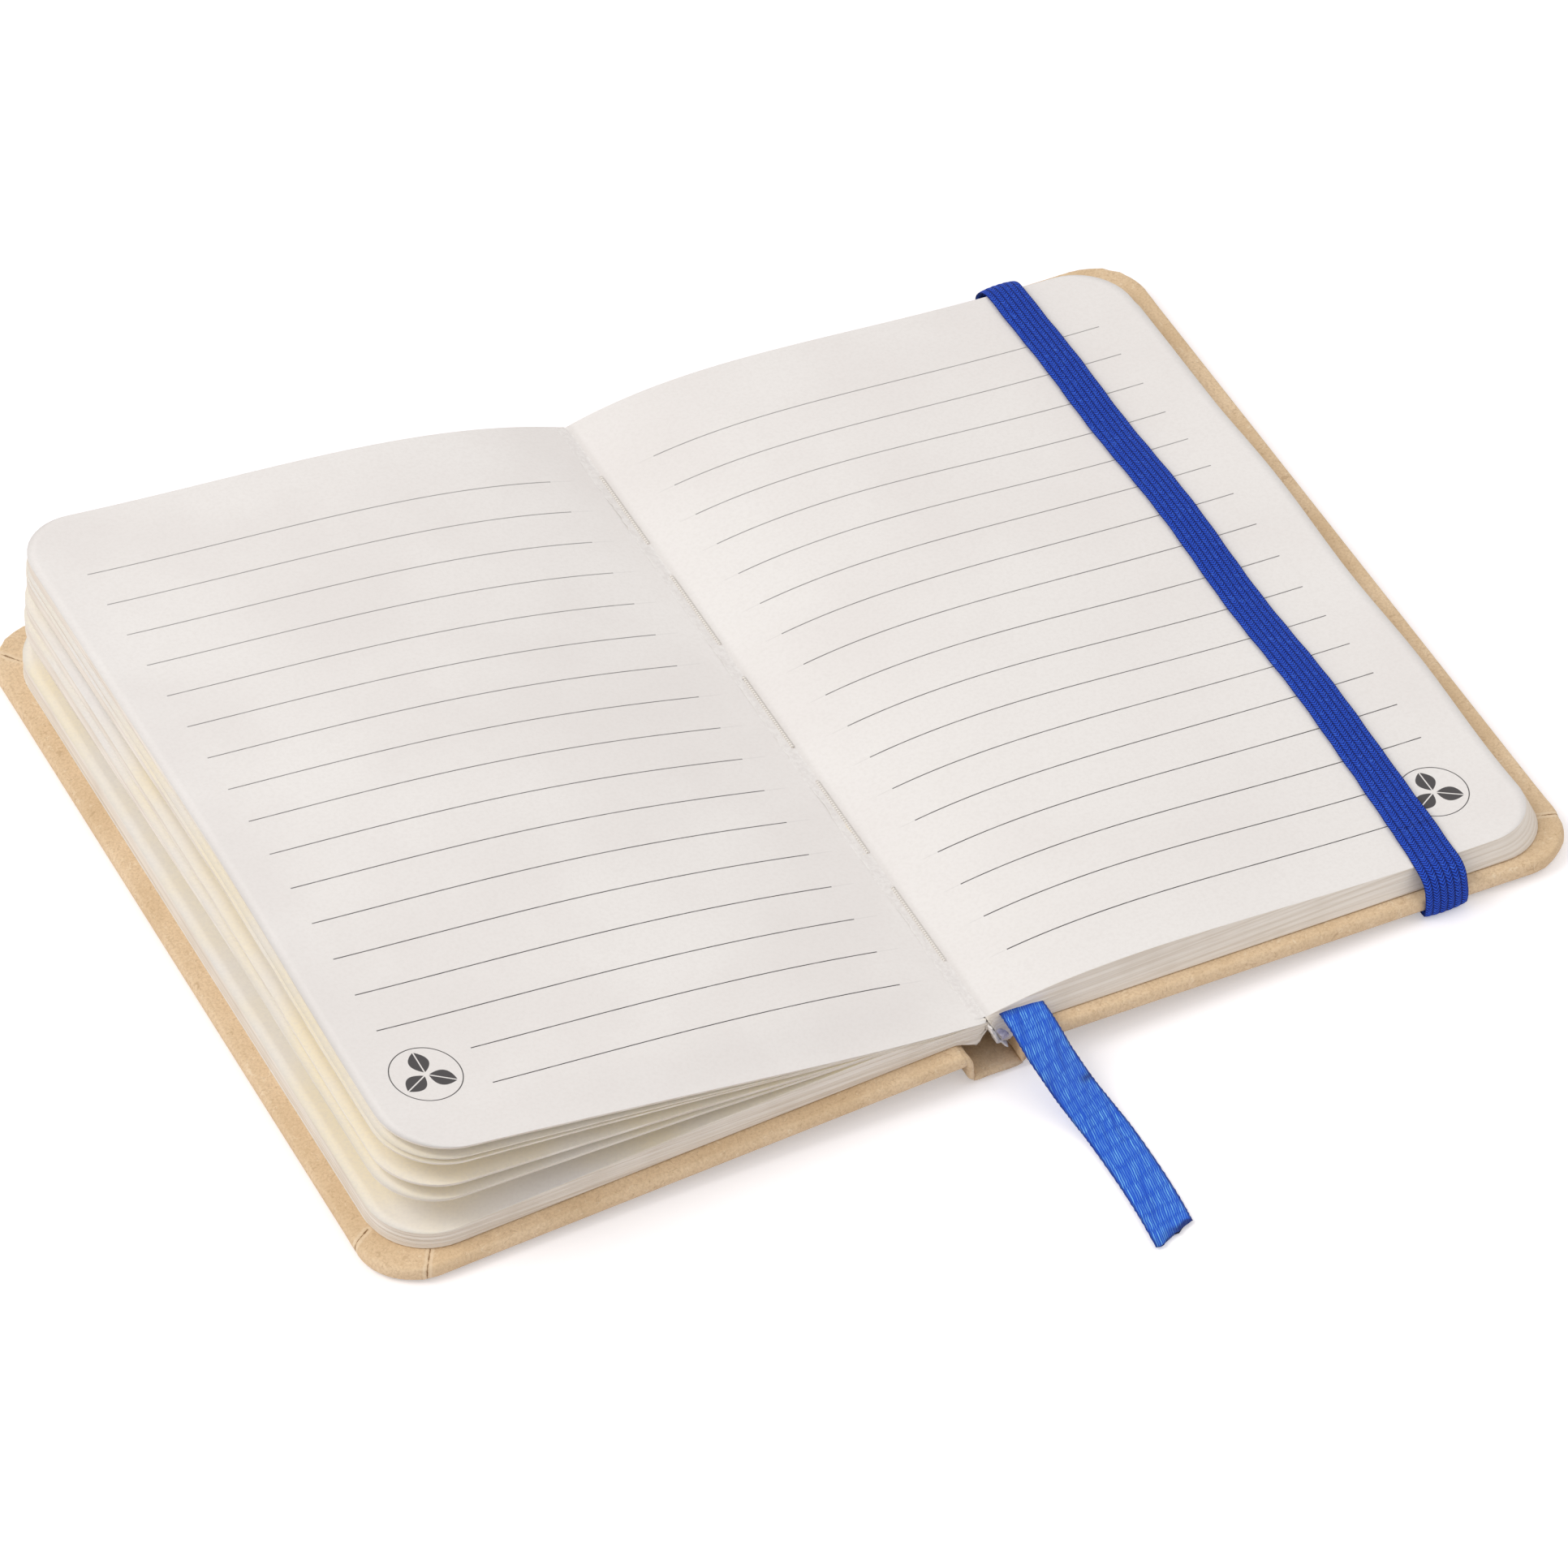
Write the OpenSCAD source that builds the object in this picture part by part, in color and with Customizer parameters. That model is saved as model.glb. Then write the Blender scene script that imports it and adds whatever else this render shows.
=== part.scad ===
// Pocket notebook with hard covers, lying open on a table near its middle.
// X runs across the spread, Y runs from the tail to the head, and Z is up.
// The origin is on the table, under the middle of the spine.

/* [Covers] */
// Width of one cover board, from its fore-edge to the spine
board_w = 88.5; // [78:0.5:110]
// Height of the covers, from tail to head
cover_h = 140; // [120:1:180]
// Thickness of the grey board inside each cover
board_t = 1.8; // [1.2:0.1:3]
// Thickness of the kraft paper that wraps the boards
paper_t = 0.25; // [0.15:0.05:0.4]
// Radius of the outer corners of the covers
corner_r = 9; // [5:0.5:14]
// Width of the strip of kraft paper that is turned in over each edge
turn_in = 13; // [8:0.5:20]
// Thickness of the endpaper pasted inside each cover
endpaper_t = 0.15; // [0.1:0.05:0.3]

/* [Spine] */
// Distance between the two boards across the spine
spine_gap = 10.5; // [9.5:0.1:14]
// Height of the boards' spine edges above the table
spine_lift = 3.4; // [2.8:0.1:5]
// Thickness of the card that stiffens the spine
stiffener_t = 0.6; // [0.4:0.05:0.7]
// Thickness of the folded paper in each joint groove
groove_t = 0.75; // [0.5:0.05:1]
// Thickness of the gauze glued over the back of the leaves
lining_t = 0.4; // [0.2:0.05:0.5]

/* [Pages] */
// Distance from the edge of the leaves to the edge of the covers
square_w = 3; // [2:0.1:5]
// Radius of the corners of the leaves
page_corner_r = 9.5; // [5:0.5:14]
// Height of the fold between the two open pages
gutter_z = 8.2; // [7.8:0.1:9.5]
// Distance of that fold from the middle of the spine, towards the front cover
gutter_shift = 0.5; // [0.2:0.1:0.8]
// Distance that the back of the right-hand leaves reaches down below the fold
sunk_h = 6.1; // [4:0.1:7]
// Distance that it slants away from the fold on the way down
sunk_w = 3.6; // [2:0.1:5]
// Thickness of the right-hand leaves at their fore-edge
back_pages_t = 3.1; // [2.5:0.1:5]
// Thickness of the left-hand leaves that lie flat on the front cover
front_pages_t = 3.5; // [2.5:0.1:4.5]
// Height of the top left-hand page at its fore-edge
fan_h = 25; // [22:0.5:28]
// Thickness of each bundle of raised leaves
bundle_t = 0.9; // [0.6:0.1:1.2]
// Drop of the raised bundles below the top one, at the fore-edge
bundle_drops = [0, 4.1, 8.1, 11.4];

/* [Sewing] */
// Length of one stitch
stitch_l = 16; // [8:1:20]
// Distance from one stitch to the next, middle to middle
stitch_pitch = 23.5; // [21:0.5:30]
// Distance from the head and tail of the leaves to the middle of the nearest stitch, at least
stitch_end = 15; // [12:1:25]
// Thickness of the sewing thread
thread_d = 0.4; // [0.3:0.05:0.5]

/* [Elastic] */
// Width of the elastic band
elastic_w = 6.8; // [4:0.2:10]
// Thickness of the elastic band
elastic_t = 0.7; // [0.5:0.05:0.72]
// Distance from the middle of the band to the fore-edge of the back cover
elastic_inset = 22.8; // [20:0.1:30]

/* [Ribbon] */
// Width of the ribbon bookmark
ribbon_w = 6.6; // [4:0.2:6.6]
// Thickness of the ribbon bookmark
ribbon_t = 0.4; // [0.3:0.05:0.5]

/* [Hidden] */
$fn = 48;

// Width of the paste line between pieces that are glued face to face
paste_gap = 0.02;
// Clearance between pieces that move past each other
run_gap = 0.3;
// Distance from the ends of the folded groove paper to the head and tail of the covers
groove_inset = 0.2;
// Number of straight steps in each page curve
page_steps = 14;

half_w = spine_gap / 2 + board_w;
cover_t = board_t + 2 * paper_t;
tilt = asin(spine_lift / board_w);
page_h = cover_h - 2 * square_w;
gutter_x = -gutter_shift;
strip_t = stiffener_t + 2 * paper_t;
// Distance of the folds in the joint grooves from the middle of the spine
groove_x = spine_gap / 2 - groove_t - 0.6;
strip_half = groove_x - run_gap;
// Leaves end here, measured at the covers
page_reach = half_w - square_w;

// Inner face of a cover, above the table, at the distance x from the spine's middle
function seat_z(x) = (half_w - x) * tan(tilt) + (cover_t + endpaper_t + paste_gap) / cos(tilt);

// A point of the curve with the end points a and d and the handles b and c
function bend(a, b, c, d, t) =
    pow(1 - t, 3) * a + 3 * pow(1 - t, 2) * t * b + 3 * (1 - t) * t * t * c + pow(t, 3) * d;
function curve(a, b, c, d) = [for (i = [0 : page_steps]) bend(a, b, c, d, i / page_steps)];
function turned(points) = [for (i = [len(points) - 1 : -1 : 0]) points[i]];
function lowered(points, drop) = [for (p = points) p - [0, drop]];
function mirrored(points) = [for (p = points) [-p[0], p[1]]];

// Top curve of a bundle of left-hand leaves whose fore-edge is raised to the height edge_z
fan_base = seat_z(page_reach) + front_pages_t;
crest_front = [[-36, 18.9], [-31.6, 18]];
function fan_share(edge_z) = (edge_z - fan_base) / (fan_h - fan_base);
function front_edge_x(edge_z) = -page_reach + 1.9 * max(0, fan_share(edge_z));
function front_root(edge_z) = [gutter_x - run_gap / 2, gutter_z - 1.3 * (1 - fan_share(edge_z))];
function front_curve(edge_z) = let (
        root = front_root(edge_z),
        lift = max(0.05, fan_share(edge_z)),
        level = [0, root[1]])
    curve(root,
        [crest_front[0][0], root[1] + (crest_front[0][1] - gutter_z) * lift],
        [crest_front[1][0], root[1] + (crest_front[1][1] - gutter_z) * lift],
        [front_edge_x(edge_z), edge_z]);

// Top curve of the right-hand leaves
crest_back = [[21.8, 15], [36.7, 8]];
back_edge = [page_reach - 1.4, seat_z(page_reach) + back_pages_t];
back_curve = curve([gutter_x + run_gap / 2, gutter_z], crest_back[0], crest_back[1], back_edge);

// Back of the right-hand leaves, where the lining is glued, from the gutter down into the hollow
spine_shares = [[0.17, 0.15], [0.33, 0.31], [0.53, 0.59], [0.75, 0.82], [1, 1]];
back_spine = [for (s = spine_shares) [gutter_x + s[0] * sunk_w, gutter_z - s[1] * sunk_h]];

// Half a plate with a straight spine side at x = 0 and two round corners at x = w
module half_plate(w, h, r, t) {
    linear_extrude(t)
        union() {
            translate([0, -h / 2]) square([w - r, h]);
            translate([0, -h / 2 + r]) square([w, h - 2 * r]);
            for (side = [-1, 1]) translate([w - r, side * (h / 2 - r)]) circle(r);
        }
}

// Places a piece that is drawn flat, with x = 0 at the spine side, on the back cover
module on_back_cover() {
    translate([half_w, 0, 0])
        rotate([0, tilt, 0])
            translate([-board_w, 0, 0]) children();
}

// The same for the front cover, which is the mirror image of the back one
module on_front_cover() {
    mirror([1, 0, 0]) on_back_cover() children();
}

// The outline across the spine, drawn in X and Z, drawn out from tail to head
module across_spine(points, length) {
    translate([0, length / 2, 0])
        rotate([90, 0, 0])
            linear_extrude(length) polygon(points);
}

// Grey board inside a cover
module board() {
    translate([0, 0, paper_t + paste_gap])
        half_plate(board_w - paper_t - paste_gap, cover_h - 2 * (paper_t + paste_gap),
            corner_r - paper_t - paste_gap, board_t - 2 * paste_gap);
}

// Kraft paper around a board, turned in over its three free edges
module wrapped_paper() {
    difference() {
        half_plate(board_w, cover_h, corner_r, cover_t);
        translate([-1, 0, paper_t])
            half_plate(board_w - paper_t + 1, cover_h - 2 * paper_t, corner_r - paper_t, board_t);
        translate([-1, -cover_h / 2 + turn_in, paper_t])
            cube([board_w - turn_in + 1, cover_h - 2 * turn_in, cover_t]);
    }
}

// Paper folded down in the groove between a cover and the spine, for the back cover.
// It starts on the board's spine edge and ends beside the spine strip.
module groove_paper() {
    edge_x = spine_gap / 2;
    top_z = spine_lift + cover_t;
    across_spine([
        [edge_x + 0.4, spine_lift + 0.02],
        [edge_x, spine_lift - 0.05],
        [groove_x + groove_t, spine_lift - 0.7],
        [groove_x + groove_t, 0.5],
        [groove_x + 0.3, 0.05],
        [groove_x, 0.05],
        [groove_x, spine_lift],
        [groove_x + 0.2, top_z - 0.6],
        [edge_x - 0.4, top_z - 0.1],
        [edge_x, top_z - 0.1],
        [edge_x, spine_lift + 0.2],
        [edge_x + 0.4, spine_lift + 0.2]], cover_h - 2 * groove_inset);
}

// Endpaper over a board and the turned-in strips, with its sunken middle
module endpaper() {
    translate([0, 0, cover_t + paste_gap / 2])
        half_plate(board_w - square_w, page_h, page_corner_r, endpaper_t);
    translate([0, -cover_h / 2 + turn_in + paste_gap, cover_t - paper_t + paste_gap])
        cube([board_w - turn_in - paste_gap, cover_h - 2 * turn_in - 2 * paste_gap, paper_t + endpaper_t / 2]);
}

// Upright prism over the plan of a half of the leaves, leaning by lean degrees at the fore-edge
module page_plan(reach, lean) {
    translate([reach, 0, 0])
        rotate([0, lean, 0])
            translate([-2 * reach, 0, -reach])
                half_plate(2 * reach, page_h, page_corner_r, 2 * reach);
}

module front_board() {
    color("darkgray") on_front_cover() board();
}

module back_board() {
    color("darkgray") on_back_cover() board();
}

module spine_stiffener() {
    color("darkgray")
        translate([-strip_half, -cover_h / 2 + 0.5, paper_t + paste_gap])
            cube([2 * strip_half, cover_h - 1, stiffener_t - 2 * paste_gap]);
}

module front_cover_paper() {
    color("burlywood") {
        on_front_cover() wrapped_paper();
        mirror([1, 0, 0]) groove_paper();
    }
}

module back_cover_paper() {
    color("burlywood") {
        on_back_cover() wrapped_paper();
        groove_paper();
    }
}

// Kraft paper of the spine, turned in over the stiffening card at head and tail
module spine_cover_paper() {
    color("burlywood")
        difference() {
            translate([-strip_half, -cover_h / 2, 0]) cube([2 * strip_half, cover_h, strip_t]);
            translate([-half_w, -cover_h / 2 + 0.5 - paste_gap, paper_t])
                cube([2 * half_w, cover_h - 1 + 2 * paste_gap, stiffener_t]);
            translate([-half_w, -cover_h / 2 + turn_in, paper_t])
                cube([2 * half_w, cover_h - 2 * turn_in, strip_t]);
        }
}

module front_endpaper() {
    color("ivory") on_front_cover() endpaper();
}

module back_endpaper() {
    color("ivory") on_back_cover() endpaper();
}

// Left-hand leaves: a flat part on the front cover, with bundles fanned up over it
module front_pages() {
    flat_top = front_curve(fan_base);
    overhang = spine_gap / 2;
    lean = atan((front_edge_x(fan_h) + page_reach) / (fan_h - seat_z(page_reach)));
    color("ivory")
        intersection() {
            union() {
                across_spine(concat(flat_top, [
                    [-page_reach, seat_z(page_reach)],
                    [-overhang, seat_z(overhang)],
                    [gutter_x - 1.4, gutter_z - 3.8],
                    [gutter_x - 0.7, gutter_z - 2.4]]), page_h);
                for (drop = bundle_drops)
                    across_spine(concat(
                        front_curve(fan_h - drop),
                        turned(lowered(front_curve(fan_h - drop), bundle_t))), page_h);
            }
            mirror([1, 0, 0]) page_plan(page_reach, -lean);
        }
}

// Right-hand leaves, held down by the elastic, with their back sunk into the hollow spine
module back_pages() {
    hollow = back_spine[len(back_spine) - 1];
    overhang = spine_gap / 2;
    lean = atan((page_reach - back_edge[0]) / back_pages_t);
    color("ivory")
        intersection() {
            across_spine(concat(back_curve, [
                [page_reach, seat_z(page_reach)],
                [overhang, seat_z(overhang)],
                [groove_x - 0.1, spine_lift + cover_t + endpaper_t],
                [groove_x - run_gap, spine_lift],
                hollow + [0.4, 0.3]],
                turned(back_spine)), page_h);
            page_plan(page_reach, -lean);
        }
}

// Gauze glued over the back of the right-hand leaves
module spine_lining() {
    outward = [-lining_t, -lining_t / 2];
    color("whitesmoke")
        across_spine(concat(
            [for (p = back_spine) p + [-paste_gap, 0]],
            turned([for (p = back_spine) p + outward])), page_h - 2);
}

// Stitches of the middle fold, lying in the gutter
module sewing_thread() {
    stitches = floor((page_h - 2 * stitch_end) / stitch_pitch) + 1;
    first_y = -(stitches - 1) * stitch_pitch / 2;
    color("gainsboro")
        for (i = [0 : stitches - 1])
            translate([gutter_x, first_y + i * stitch_pitch + stitch_l / 2, gutter_z + thread_d / 2])
                rotate([90, 0, 0]) cylinder(d = thread_d, h = stitch_l, $fn = 16);
}

// Closed band around the back cover and the leaves on it, drawn on the tilted cover
module elastic_band() {
    side_gap = 0.15;
    left = board_w - elastic_inset - elastic_w / 2;
    inner_h = cover_h + 2 * side_gap;
    // Heights of the page under the band, measured square to the cover
    rise = back_edge[1] - seat_z(page_reach) + cover_t + 1.6;
    // Place where the band turns over the edge of the leaves
    shoulder = page_h / 2 + side_gap;
    outer = [
        [-inner_h / 2 - elastic_t, -elastic_t],
        [inner_h / 2 + elastic_t, -elastic_t],
        [inner_h / 2 + elastic_t, cover_t + elastic_t],
        [shoulder + elastic_t, rise + elastic_t],
        [-shoulder - elastic_t, rise + elastic_t],
        [-inner_h / 2 - elastic_t, cover_t + elastic_t]];
    inner = [
        [-inner_h / 2, -paste_gap],
        [inner_h / 2, -paste_gap],
        [inner_h / 2, cover_t + elastic_t / 2],
        [shoulder, rise],
        [-shoulder, rise],
        [-inner_h / 2, cover_t + elastic_t / 2]];
    color("royalblue")
        on_back_cover()
            translate([left, 0, 0])
                rotate([90, 0, 90])
                    linear_extrude(elastic_w)
                        difference() {
                            polygon(outer);
                            polygon(inner);
                        }
}

// Points of the ribbon's middle line, from the tail edge of the leaves down to its cut end on the
// table. The second number is the distance past the leaves.
ribbon_route = [
    [5.0, 0, 8.1], [5.05, -2, 7.95], [5.15, -4, 7.55], [5.3, -6, 6.85],
    [5.55, -8, 5.85], [6.0, -10, 4.7], [6.5, -12, 3.5], [7.0, -14, 2.45],
    [7.5, -16, 1.6], [7.9, -18, 1.0], [8.2, -20, 0.6], [8.35, -23, 0.35],
    [8.35, -27, 0.3], [8.25, -31, 0.3], [8.05, -35, 0.3], [7.8, -38, 0.3], [7.5, -41, 0.3]];
// Direction of the route at each of its points
function heading(i) = let (
        a = ribbon_route[max(0, i - 1)],
        b = ribbon_route[min(len(ribbon_route) - 1, i + 1)])
    i == 0 ? [0, -1, 0] : (b - a) / norm(b - a);
// Eight corners of the ribbon's flat section at a point of the route
function section(i) = let (
        along = heading(i),
        over = [-along[1], along[0], 0] / norm([along[0], along[1]]),
        rise = cross(along, over) * (cross(along, over)[2] < 0 ? -1 : 1),
        w = ribbon_w / 2,
        t = ribbon_t / 2)
    [for (c = [[w, 0.3 * t], [w - t, t], [0, t], [t - w, t], [-w, 0.3 * t],
               [-w, -0.3 * t], [t - w, -t], [w - t, -t]])
        ribbon_route[i] + over * c[0] + rise * c[1]];

module ribbon_bookmark() {
    rings = len(ribbon_route);
    sides = 8;
    points = [for (i = [0 : rings - 1]) for (p = section(i)) p];
    walls = [for (i = [0 : rings - 2]) for (k = [0 : sides - 1]) let (m = (k + 1) % sides)
        [i * sides + k, (i + 1) * sides + k, (i + 1) * sides + m, i * sides + m]];
    start = [[for (k = [0 : sides - 1]) k]];
    end = [[for (k = [sides - 1 : -1 : 0]) (rings - 1) * sides + k]];
    color("dodgerblue")
        translate([0, -page_h / 2, 0])
            polyhedron(points, concat(walls, start, end), convexity = 4);
}

front_board();
back_board();
spine_stiffener();
front_cover_paper();
spine_cover_paper();
back_cover_paper();
front_endpaper();
back_endpaper();
front_pages();
back_pages();
spine_lining();
sewing_thread();
elastic_band();
ribbon_bookmark();
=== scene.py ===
# %% [markdown]
# A ruled notebook lies open on a table. Its covers are board wrapped in kraft paper, its leaves are ruled,
# a blue elastic goes round the back half and a blue satin ribbon leaves it at the tail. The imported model
# gives the frame: every piece below sits where that model says, in metres, and replaces or dresses one of
# its nodes.

# %% Load the frame
import math
import random

import bmesh
import bpy
from mathutils import Matrix, Vector, noise


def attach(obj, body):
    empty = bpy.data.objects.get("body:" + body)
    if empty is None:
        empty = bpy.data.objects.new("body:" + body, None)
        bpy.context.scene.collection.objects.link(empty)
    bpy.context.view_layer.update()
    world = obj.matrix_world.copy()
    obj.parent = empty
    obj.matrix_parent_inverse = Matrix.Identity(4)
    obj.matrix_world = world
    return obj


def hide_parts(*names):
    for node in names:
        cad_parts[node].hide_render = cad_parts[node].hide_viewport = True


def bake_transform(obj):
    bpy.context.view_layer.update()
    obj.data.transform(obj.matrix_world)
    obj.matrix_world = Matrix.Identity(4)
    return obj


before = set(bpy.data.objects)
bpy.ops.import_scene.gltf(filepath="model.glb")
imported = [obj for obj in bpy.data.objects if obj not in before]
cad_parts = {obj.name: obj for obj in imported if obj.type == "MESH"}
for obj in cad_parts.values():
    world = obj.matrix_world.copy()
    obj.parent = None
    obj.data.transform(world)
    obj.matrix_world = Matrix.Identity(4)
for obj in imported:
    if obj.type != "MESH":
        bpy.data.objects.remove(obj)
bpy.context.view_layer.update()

mm = 0.001

# %% [markdown]
# The camera stands where the photographer stood: to the front left, 45 degrees up, with a long lens, so
# that parallel edges stay almost parallel. Its place comes from the rules, which are printed 7 mm apart.

# %% Camera
camera_data = bpy.data.cameras.new("camera")
camera_data.lens, camera_data.sensor_width = 212.4, 36
camera = bpy.data.objects.new("camera", camera_data)
bpy.context.scene.collection.objects.link(camera)
camera.location = Vector((-418.95, -842.1, 934.9)) * mm
camera_back = Vector((-0.3161, -0.6323, 0.7074))
camera.rotation_mode = "QUATERNION"
camera.rotation_quaternion = (-camera_back).to_track_quat("-Z", "Y")
bpy.context.scene.camera = camera
print("camera", round(camera.location.length, 3), "m away")

# %% [markdown]
# The light is a studio's: a big soft lamp high on the left, a weaker one on the right and an even white
# surrounding. The floor is white paper. What the camera sees of it is lifted a little, so that it comes out
# white while the shadow of the book stays on it.

# %% Surrounding, lamps and floor
scene = bpy.context.scene
scene.view_settings.view_transform = "Standard"

world = bpy.data.worlds.new("studio")
scene.world = world
world.use_nodes = True
sky = world.node_tree.nodes["Background"]
sky.inputs["Color"].default_value = (1.0, 0.98, 0.975, 1)
sky_strength = 0.655
sky.inputs["Strength"].default_value = sky_strength


def lamp(name, place, aim, size, watts, colour):
    """A square soft lamp that looks from a place at a point."""
    data = bpy.data.lights.new(name, "AREA")
    data.shape = "SQUARE"
    data.size = size
    data.energy = watts
    data.color = colour
    obj = bpy.data.objects.new(name, data)
    obj.location = place
    obj.rotation_mode = "QUATERNION"
    obj.rotation_quaternion = (Vector(aim) - Vector(place)).to_track_quat("-Z", "Y")
    scene.collection.objects.link(obj)
    return obj


lamp("left_lamp", (-0.9, 0.25, 1.1), (0, 0, 0), 0.7, 7.4, (1, 0.98, 0.955))
lamp("right_lamp", (0.9, -0.5, 1.2), (0, 0, 0), 0.9, 2.0, (1, 0.985, 0.985))


def shader_nodes(name):
    """A material with an empty node tree, and its output node."""
    material = bpy.data.materials.new(name)
    material.use_nodes = True
    material.node_tree.nodes.clear()
    return material, material.node_tree.nodes.new("ShaderNodeOutputMaterial")


floor_paper, floor_output = shader_nodes("floor_paper")
tree = floor_paper.node_tree
matt = tree.nodes.new("ShaderNodeBsdfDiffuse")
matt.inputs["Color"].default_value = (0.9, 0.88, 0.9, 1)
lift = tree.nodes.new("ShaderNodeEmission")
lift.inputs["Color"].default_value = (1, 1, 1, 1)
seen = tree.nodes.new("ShaderNodeLightPath")
seen_any = tree.nodes.new("ShaderNodeMath")
seen_any.operation = "MAXIMUM"
seen_more = tree.nodes.new("ShaderNodeMath")
seen_more.operation = "MAXIMUM"
seen_lift = tree.nodes.new("ShaderNodeMath")
seen_lift.operation = "MULTIPLY"
floor_lift = 0.3
seen_lift.inputs[1].default_value = floor_lift
both = tree.nodes.new("ShaderNodeAddShader")
tree.links.new(seen.outputs["Is Camera Ray"], seen_any.inputs[0])
tree.links.new(seen.outputs["Is Glossy Ray"], seen_any.inputs[1])
tree.links.new(seen_any.outputs[0], seen_more.inputs[0])
tree.links.new(seen.outputs["Is Transmission Ray"], seen_more.inputs[1])
tree.links.new(seen_more.outputs[0], seen_lift.inputs[0])
tree.links.new(seen_lift.outputs[0], lift.inputs["Strength"])
tree.links.new(matt.outputs[0], both.inputs[0])
tree.links.new(lift.outputs[0], both.inputs[1])
tree.links.new(both.outputs[0], floor_output.inputs["Surface"])

floor_mesh = bmesh.new()
bmesh.ops.create_grid(floor_mesh, x_segments=1, y_segments=1, size=3)
floor_data = bpy.data.meshes.new("floor")
floor_mesh.to_mesh(floor_data)
floor_mesh.free()
floor = bpy.data.objects.new("floor", floor_data)
scene.collection.objects.link(floor)
floor.location = (0, 0, -0.0002)
floor.data.materials.append(floor_paper)
print("lamps and floor are set")

# %% [markdown]
# Each finish is a small tree of shader nodes. This helper keeps the trees short: it makes a node, plugs
# values or other nodes into it by name, and offers the few sums and patterns that paper, kraft and ribbon
# share. Patterns are placed in millimetres on the piece itself, so that they don't slide when a cover
# turns.

# %% Helper for finishes
class Finish:
    """A material and short ways to add nodes to it."""

    def __init__(self, name):
        self.material, self.output = shader_nodes(name)
        self.tree = self.material.node_tree

    def plug(self, socket, value):
        """Sets a socket to a number or colour, or links another node's socket to it."""
        if isinstance(value, bpy.types.NodeSocket):
            self.tree.links.new(value, socket)
        else:
            socket.default_value = value

    def node(self, kind, inputs=None, **settings):
        made = self.tree.nodes.new("ShaderNode" + kind)
        for key, value in settings.items():
            setattr(made, key, value)
        for key, value in (inputs or {}).items():
            self.plug(made.inputs[key], value)
        return made

    def calc(self, operation, *values):
        """The result of one sum."""
        made = self.node("Math", operation=operation)
        for k, value in enumerate(values):
            self.plug(made.inputs[k], value)
        return made.outputs[0]

    def fade(self, value, start, end, low=0.0, high=1.0):
        """From low at start to high at end, smoothly, and level outside."""
        return self.node("MapRange", {
            "Value": value, "From Min": start, "From Max": end, "To Min": low, "To Max": high},
            interpolation_type="SMOOTHSTEP").outputs[0]

    def inside(self, value, low, high, soft):
        """1 between low and high, and 0 outside."""
        return self.calc("MULTIPLY", self.fade(value, low - soft, low + soft),
                         self.fade(value, high + soft, high - soft))

    def place(self):
        """The point on the piece, in millimetres, and its three numbers."""
        point = self.node("TexCoord").outputs["Object"]
        point = self.node("VectorMath", {0: point, "Scale": 1 / mm}, operation="SCALE").outputs[0]
        return point, self.node("SeparateXYZ", {0: point}).outputs

    def stretched(self, point, x, y, z):
        """The point with its axes scaled, which stretches a pattern."""
        return self.node("VectorMath", {0: point, 1: (x, y, z)}, operation="MULTIPLY").outputs[0]

    def grain(self, point, size, detail=2.0, rough=0.5, curl=0.0):
        """Noise between 0 and 1 with spots of about that size in millimetres."""
        return self.node("TexNoise", {
            "Vector": point, "Scale": 1 / size, "Detail": detail, "Roughness": rough,
            "Distortion": curl}).outputs["Fac"]

    def off(self, value, middle):
        """How far a value is from the middle."""
        return self.calc("ABSOLUTE", self.calc("SUBTRACT", value, middle))

    def length(self, x, y):
        return self.calc("SQRT", self.calc("ADD", self.calc("MULTIPLY", x, x), self.calc("MULTIPLY", y, y)))

    def from_line(self, x, y, start, end):
        """Distance in plan from the straight line between two places."""
        run = (end[0] - start[0], end[1] - start[1])
        square = run[0] ** 2 + run[1] ** 2
        dx, dy = self.calc("SUBTRACT", x, start[0]), self.calc("SUBTRACT", y, start[1])
        share = self.calc("ADD", self.calc("MULTIPLY", dx, run[0] / square),
                          self.calc("MULTIPLY", dy, run[1] / square))
        share = self.calc("MINIMUM", self.calc("MAXIMUM", share, 0.0), 1.0)
        return self.length(self.calc("SUBTRACT", dx, self.calc("MULTIPLY", share, run[0])),
                           self.calc("SUBTRACT", dy, self.calc("MULTIPLY", share, run[1])))

    def blend(self, share, low, high):
        """The colour low where share is 0, and high where it is 1."""
        made = self.node("Mix", data_type="RGBA")
        for socket, value in ((0, share), (6, low), (7, high)):
            self.plug(made.inputs[socket], value)
        return made.outputs[2]

    def finish(self, colour, roughness, relief=None, depth=0.05, strength=1.0, **sockets):
        """The surface, with relief in millimetres from a height between 0 and 1."""
        surface = self.node("BsdfPrincipled", {"Base Color": colour, "Roughness": roughness})
        for key, value in sockets.items():
            surface.inputs[key.replace("_", " ")].default_value = value
        if relief is not None:
            bump = self.node("Bump", {"Height": relief, "Distance": depth * mm, "Strength": strength})
            self.tree.links.new(bump.outputs[0], surface.inputs["Normal"])
        self.tree.links.new(surface.outputs[0], self.output.inputs["Surface"])
        return self.material


def colour(red, green, blue):
    """A colour as it is read on a screen, 0 to 255, made linear."""
    shares = [c / 255 for c in (red, green, blue)]
    linear = [c / 12.92 if c <= 10 / 255 else ((c + 0.055) / 1.055) ** 2.4 for c in shares]
    return (*linear, 1)


# %% [markdown]
# Every new mesh ends up in the same way: it gets its finish, smooth shading where asked, the body that it
# moves with, and the CAD nodes that it stands for.

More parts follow.
